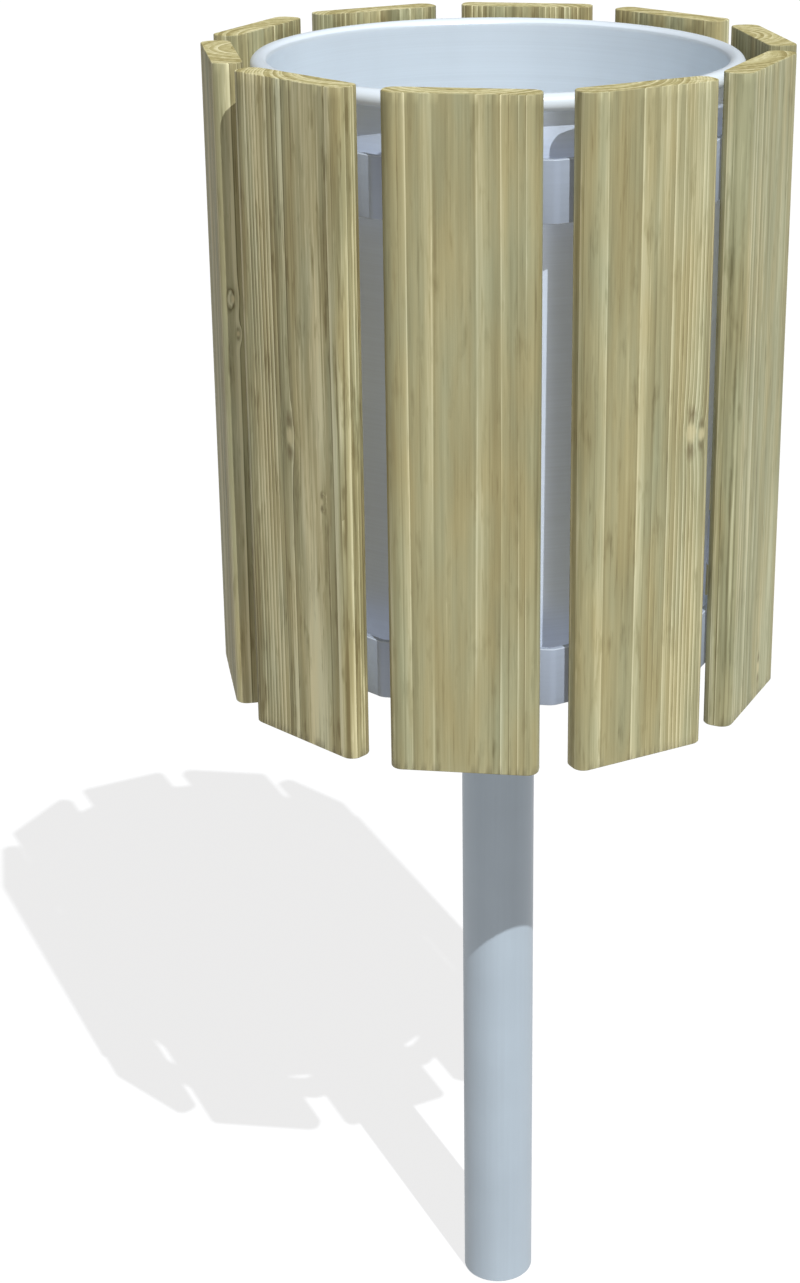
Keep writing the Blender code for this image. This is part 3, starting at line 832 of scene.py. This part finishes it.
def post_tube():
    """The round tube, open at both ends."""
    inner = POST_RADIUS - POST_WALL
    ease = POST_ARRIS
    rows = [(inner + ease, 0.0), (POST_RADIUS - ease, 0.0), (POST_RADIUS, ease)]
    rows += [(POST_RADIUS, POST_TOP * share / POST_ROWS) for share in range(1, POST_ROWS)]
    rows += [(POST_RADIUS, POST_TOP - ease), (POST_RADIUS - ease, POST_TOP), (inner + ease, POST_TOP),
             (inner, POST_TOP - ease), (inner, ease)]
    mesh = make_mesh("post_tube", *lathe(rows, 128, closed=True))
    put("post_tube", mesh, "stand", steel, ("post",))


def bolt_places():
    """Where each bolt stands, by its number."""
    spots = []
    for number in range(1, 5):
        low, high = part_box(f"base_bolt_{number}")
        spots.append(((low.x + high.x) / 2, (low.y + high.y) / 2))
    return spots


def plate():
    """The round plate on top of the post, drilled for the bolts."""
    rows = [(0, PLATE_BOTTOM)]
    rows += [(PLATE_RADIUS - inset, height) for inset, height in eased(PLATE_BOTTOM, PLATE_TOP)]
    rows.append((0, PLATE_TOP))
    mesh = make_mesh("post_top_plate", *lathe(rows, 96))
    shank = BOLT_RADIUS + HOLE_PLAY
    low = PLATE_BOTTOM - DRILL_PAST
    high = PLATE_TOP + DRILL_PAST
    drill = [(0, low), (shank, low), (shank, high), (0, high)]
    cutters = [bore(drill, 24, Matrix.Translation((x, y, 0.0))) for x, y in bolt_places()]
    put("post_top_plate", mark_edges(drilled(mesh, cutters)), "stand", steel, ("post_plate",))


def cross_bar(name, outline, spots, node):
    """A flat bar of the base cross with eased edges and countersunk holes."""
    layers = [(offset_outline(outline, inset), height) for inset, height in eased(BAR_BOTTOM, BAR_TOP)]
    mesh = make_mesh(name, *stack(layers))
    head = BOLT_HEAD + HOLE_PLAY
    shank = BOLT_RADIUS + HOLE_PLAY
    low = BAR_BOTTOM - DRILL_PAST
    high = BAR_TOP + DRILL_PAST
    rows = [(0, low), (shank, low), (shank, BAR_TOP - head + shank), (head, BAR_TOP), (head, high), (0, high)]
    cutters = [bore(rows, 32, Matrix.Translation((x, y, 0.0))) for x, y in spots]
    put(name, mark_edges(drilled(mesh, cutters)), "stand", steel, (node,))


def base_cross():
    """One bar right through and an arm to each side."""
    right, back, left, front = bolt_places()
    half = BAR_HALF
    through = [(-half, -BAR_REACH), (half, -BAR_REACH), (half, BAR_REACH), (-half, BAR_REACH)]
    cross_bar("cross_bar_through", through, (back, front), "base_bar_through")
    shoulder = ARM_TIP - half * tan(PITCH / 2)
    arm = [(ARM_ROOT, -half), (shoulder, -half), (ARM_TIP, 0.0), (shoulder, half), (ARM_ROOT, half)]
    cross_bar("cross_arm_right", arm, (right,), "base_bar_right")
    cross_bar("cross_arm_left", [(-x, -y) for x, y in arm], (left,), "base_bar_left")


def bolts():
    """Countersunk socket bolts with washers and nuts."""
    cone_end = BOLT_HEAD_EDGE + BOLT_HEAD - BOLT_RADIUS
    rows = [(0, BOLT_SOCKET), (hexagon(BOLT_KEY), BOLT_SOCKET), (hexagon(BOLT_KEY + 0.0002), HEAD_ARRIS),
            (hexagon(BOLT_KEY + 0.0006), 0.0), (BOLT_HEAD - HEAD_ARRIS, 0.0), (BOLT_HEAD, HEAD_ARRIS),
            (BOLT_HEAD, BOLT_HEAD_EDGE), (BOLT_RADIUS, cone_end), (BOLT_RADIUS, BOLT_NECK_END)]
    rows += thread_rows(BOLT_ROOT, BOLT_RADIUS, BOLT_PITCH, BOLT_NECK_END + 0.0005, BOLT_LENGTH - 0.001)
    rows += [(BOLT_RADIUS - 0.0012, BOLT_LENGTH), (0, BOLT_LENGTH)]
    for number, (x, y) in enumerate(bolt_places(), start=1):
        turned_over = Matrix.Translation((x, y, BAR_TOP)) @ Matrix.Rotation(pi, 4, "X")
        spin = Matrix.Rotation(number * 1.1, 4, "Z")
        mesh = make_mesh("bolt", *lathe(rows, 36), turned_over @ spin)
        put(f"socket_bolt_{number}", mesh, "stand", zinc, (f"base_bolt_{number}",))

        low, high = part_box(f"base_washer_{number}")
        hole = BOLT_RADIUS + HOLE_PLAY
        reach = (high.x - low.x) / 2
        ease = WASHER_ARRIS
        washer = [(hole, low.z), (reach - ease, low.z), (reach, low.z + ease), (reach, high.z - ease),
                  (reach - ease, high.z), (hole, high.z)]
        mesh = make_mesh("washer", *lathe(washer, 48, closed=True), Matrix.Translation((x, y, 0.0)))
        put(f"flat_washer_{number}", mesh, "stand", zinc, (f"base_washer_{number}",))

        low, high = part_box(f"base_nut_{number}")
        chamfer = NUT_FLATS / 2 + 0.0001
        drop = (NUT_FLATS / 2 / cos(pi / 6) - chamfer) * tan(radians(30))
        thread = BOLT_RADIUS + GAP
        nut = [(thread + ease, low.z), (chamfer, low.z), (hexagon(NUT_FLATS), low.z + drop),
               (hexagon(NUT_FLATS), high.z - drop), (chamfer, high.z), (thread + ease, high.z),
               (thread, high.z - ease), (thread, low.z + ease)]
        mesh = make_mesh("nut", *lathe(nut, 48, closed=True), Matrix.Translation((x, y, 0.0)) @ spin)
        put(f"hex_nut_{number}", mesh, "stand", zinc, (f"base_nut_{number}",))


# ---- Welds ------------------------------------------------------------------------------------

def bead(name, start, end, size, up=UP, body="stand", material=steel):
    """A weld bead between two points: a rippled ridge with round ends."""
    width, height = size
    start, end, up = Vector(start), Vector(end), Vector(up).normalized()
    along = end - start
    side = along.cross(up).normalized()
    length = along.length
    steps = max(round(length / 0.0005), 8)
    around = 12
    verts = [start]
    for step in range(steps + 1):
        share = step / steps
        travel = share * length
        close = min(travel, length - travel)
        taper = min(1.0, (max(close, 0.0) / (width / 2)) ** 0.5 + 0.15)
        ripple = 1 + 0.10 * cos(tau * travel / BEAD_RIPPLE)
        for index in range(around):
            turn = tau * index / around
            verts.append(start + along * share + side * (cos(turn) * width / 2 * taper)
                         + up * (sin(turn) * height * taper * ripple))
    verts.append(end)
    faces = []
    for step in range(steps):
        for index in range(around):
            after = (index + 1) % around
            here = 1 + step * around
            faces.append((here + index, here + after, here + around + after, here + around + index))
    last = len(verts) - 1
    for index in range(around):
        after = (index + 1) % around
        faces.append((0, 1 + after, 1 + index))
        faces.append((last, last - around + index, last - around + after))
    put(name, make_mesh(name, verts, faces), body, material)


def welds():
    """Beads where the frame's pieces are joined."""
    leg = POST_WELD_LEG

    def wavy(reach):
        return lambda angle: reach + 0.0002 * cos(POST_WELD_RIPPLES * angle)

    rows = [(POST_RADIUS - 0.0005, PLATE_BOTTOM - leg), (POST_RADIUS + 0.0004, PLATE_BOTTOM - leg),
            (wavy(POST_RADIUS + leg * 0.42), PLATE_BOTTOM - leg * 0.62),
            (wavy(POST_RADIUS + leg * 0.75), PLATE_BOTTOM - leg * 0.30),
            (POST_RADIUS + leg, PLATE_BOTTOM - 0.0001), (POST_RADIUS + leg, PLATE_BOTTOM + 0.0002),
            (POST_RADIUS - 0.0005, PLATE_BOTTOM + 0.0002)]
    mesh = make_mesh("post_weld", *lathe(rows, 4 * POST_WELD_RIPPLES, closed=True))
    put("post_weld", mesh, "stand", steel)
    half = BAR_HALF - 0.002
    for name, sense in (("right", 1), ("left", -1)):
        root = sense * (BAR_HALF + ARM_ROOT) / 2
        bead(f"cross_weld_{name}", (root, -half, BAR_TOP), (root, half, BAR_TOP), FLAT_BEAD)
        reach = ARM_TIP - 0.0008
        shoulder = ARM_TIP - half * tan(PITCH / 2) - 0.0008
        for end, turn in (("front", -1), ("back", 1)):
            bead(f"arm_weld_{name}_{end}", (sense * reach, 0.0, BAR_TOP),
                 (sense * shoulder, turn * half, BAR_TOP), CORNER_BEAD)
    for name, sense in (("front", -1), ("back", 1)):
        reach = sense * BAR_REACH
        bead(f"bar_weld_{name}", (-half, reach, BAR_TOP), (half, reach, BAR_TOP), CORNER_BEAD)
    for level in ("upper", "lower"):
        low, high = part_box(f"{level}_hoop")
        foot = on_radius(HOOP_INNER, HOOP_WELD_SIDE, low.z + 0.001, HOOP_WELD_ACROSS)
        top = on_radius(HOOP_INNER, HOOP_WELD_SIDE, high.z - 0.001, HOOP_WELD_ACROSS)
        inwards = on_radius(-1.0, HOOP_WELD_SIDE, 0.0)
        bead(f"hoop_weld_{level}", foot, top, HOOP_BEAD, inwards)


# ---- Liner ------------------------------------------------------------------------------------

def liner_inner(height):
    """Inside radius of the tapering wall."""
    share = (height - LINER_FOOT) / (RIM_CENTRE[1] - LINER_FOOT)
    return LINER_FOOT_INNER + (LINER_INNER - LINER_FOOT_INNER) * share


def mark_liner(mesh):
    """Flag the wall's outside below the rim, which gets painted light, and the top and outside of the rim,
    which get a painted highlight.
    """
    rim_foot = RIM_CENTRE[1] - RIM_RADIUS * 1.5
    outer = []
    rim = []
    for vert in mesh.vertices:
        reach = hypot(vert.co.x, vert.co.y)
        middle = liner_inner(vert.co.z) + SHEET / 2
        # The wall's outside is flagged for painted light.
        outer.append(float(vert.co.z < rim_foot and reach > middle))
        # The rim's top and outside are flagged for a painted highlight.
        on_top = vert.co.z > RIM_CENTRE[1] + RIM_RADIUS * 0.5
        rim.append(float(on_top or reach > RIM_CENTRE[0] + RIM_RADIUS * 0.5))
    store_numbers(mesh, "outer_face", outer)
    store_numbers(mesh, "edge_wear_and_painted_highlight", rim)


def liner():
    """Sheet can with a rolled rim, its wire, a flanged floor and a welded seam."""
    skin = arc(RIM_CENTRE, RIM_RADIUS, pi, -RIM_SWEEP, RIM_STEPS)
    core = arc(RIM_CENTRE, RIM_RADIUS - SHEET, pi, -RIM_SWEEP, RIM_STEPS)
    rise = (RIM_CENTRE[1] - LINER_FOOT) / LINER_ROWS
    levels = [LINER_FOOT + rise * step for step in range(LINER_ROWS)]
    inner_rows = [(liner_inner(level), level) for level in levels]
    outer_rows = [(radius + SHEET, level) for radius, level in inner_rows[::-1]]
    rows = inner_rows + skin + core[::-1] + outer_rows
    mesh = make_mesh("liner_shell", *lathe(rows, LINER_SEGMENTS, closed=True))
    mark_liner(mesh)
    put("liner_shell", mesh, "liner", liner_steel, ("liner_wall",))

    rows = arc(RIM_CENTRE, WIRE_RADIUS, 0.0, tau * 15 / 16, 15)
    mesh = make_mesh("rim_core_wire", *lathe(rows, LINER_SEGMENTS, closed=True))
    put("rim_core_wire", mesh, "liner", zinc, ("liner_rim_wire",))

    bend = (FLOOR_RADIUS - FLOOR_BEND, FLOOR_TOP - FLOOR_BEND)
    rows = [(0, FLOOR_TOP - SHEET)]
    rows += arc(bend, FLOOR_BEND - SHEET, pi / 2, -pi / 2, 6)
    rows += [(FLOOR_RADIUS - SHEET, FLOOR_FLANGE_FOOT), (FLOOR_RADIUS, FLOOR_FLANGE_FOOT)]
    rows += arc(bend, FLOOR_BEND, 0.0, pi / 2, 6)
    rows.append((0, FLOOR_TOP))
    mesh = make_mesh("liner_base", *lathe(rows, 128))
    cutters = []
    half = SHEET + DRILL_PAST
    drill = [(0, -half), (DRAIN_RADIUS, -half), (DRAIN_RADIUS, half), (0, half)]
    for index in range(DRAIN_COUNT):
        turn = tau * (index + 0.5) / DRAIN_COUNT
        spot = (DRAIN_CIRCLE * cos(turn), DRAIN_CIRCLE * sin(turn), FLOOR_TOP)
        cutters.append(bore(drill, 32, Matrix.Translation(spot)))
    put("liner_base", drilled(mesh, cutters), "liner", liner_steel, ("liner_floor",))

    foot = on_radius(LINER_FOOT_INNER + SHEET, 0, LINER_FOOT + 0.002, SEAM_ACROSS)
    top = on_radius(LINER_INNER + SHEET, 0, RIM_CENTRE[1] - RIM_RADIUS - 0.002, SEAM_ACROSS)
    bead("liner_seam", foot, top, SEAM_BEAD, on_radius(1.0, 0, 0.0), "liner", liner_steel)


# ---- Studio -----------------------------------------------------------------------------------

def parallel_light(name, strength, height, turn):
    """A far light, seen at a height above the horizontal and a turn to the right of straight on."""
    lamp = bpy.data.objects.new(name, bpy.data.lights.new(name, "SUN"))
    lamp.data.energy = strength
    lamp.rotation_euler = (pi / 2 - height, 0.0, turn)
    bpy.context.scene.collection.objects.link(lamp)
    return lamp


def studio():
    """Camera, sun-like key light, fills, bounce and sky, and a pale floor."""
    camera = bpy.data.objects.new("camera", bpy.data.cameras.new("camera"))
    camera.data.lens = CAMERA_LENS
    camera.data.shift_x, camera.data.shift_y = CAMERA_SHIFT
    across = CAMERA_DISTANCE * sin(CAMERA_TURN)
    camera.location = (across, -CAMERA_DISTANCE * cos(CAMERA_TURN), CAMERA_HEIGHT)
    camera.rotation_euler = (pi / 2 - CAMERA_PITCH, 0.0, CAMERA_TURN)
    bpy.context.scene.collection.objects.link(camera)
    bpy.context.scene.camera = camera

    key = parallel_light("key_light", SUN_STRENGTH, SUN_HEIGHT, SUN_TURN)
    key.data.angle = SUN_SPREAD
    key.data.color = SUN_COLOUR
    lamps = [parallel_light("bounce_light", BOUNCE_STRENGTH, -pi / 2, 0.0)]
    for index, strength in enumerate(FILL_STRENGTHS):
        turn = CAMERA_TURN + tau * index / len(FILL_STRENGTHS)
        lamps.append(parallel_light(f"fill_light_{index + 1}", strength, FILL_HEIGHT, turn))
    for lamp in lamps:
        lamp.data.color = FILL_COLOUR
        lamp.data.use_shadow = False
        lamp.visible_glossy = False

    world = bpy.data.worlds.new("studio")
    bpy.context.scene.world = world
    world.use_nodes = True
    tree = world.node_tree
    seen = tree.nodes.new("ShaderNodeLightPath").outputs["Is Camera Ray"]
    sky = tree.nodes["Background"]
    feed(tree, sky.inputs["Strength"], calc(tree, "MULTIPLY_ADD", seen, 1.0 - SKY_LIGHT, SKY_LIGHT))
    sky.inputs["Color"].default_value = (1.0, 1.0, 1.0, 1.0)

    mesh = bpy.data.meshes.new("studio_floor")
    corners = arc((0.0, 0.0), FLOOR_REACH, 0.0, tau * 63 / 64, 63)
    mesh.from_pydata([(x, y, -GAP) for x, y in corners], [], [list(range(len(corners)))])
    floor = bpy.data.objects.new("studio_floor", mesh)
    bpy.context.scene.collection.objects.link(floor)
    material, tree, shader = new_material("studio_floor")
    shader.inputs["Base Color"].default_value = opaque((FLOOR_SHADE,) * 3)
    shader.inputs["Roughness"].default_value = 1.0
    shader.inputs["Specular IOR Level"].default_value = 0.0
    shader.inputs["Emission Color"].default_value = (1.0, 1.0, 1.0, 1.0)
    shader.inputs["Emission Strength"].default_value = FLOOR_GLOW
    mesh.materials.append(material)
    floor.visible_diffuse = False
    bpy.context.scene.view_settings.view_transform = "Standard"


studio()
slats()
for level in ("upper", "lower"):
    hoop(level)
    screws(level)
post_tube()
plate()
base_cross()
bolts()
welds()
liner()
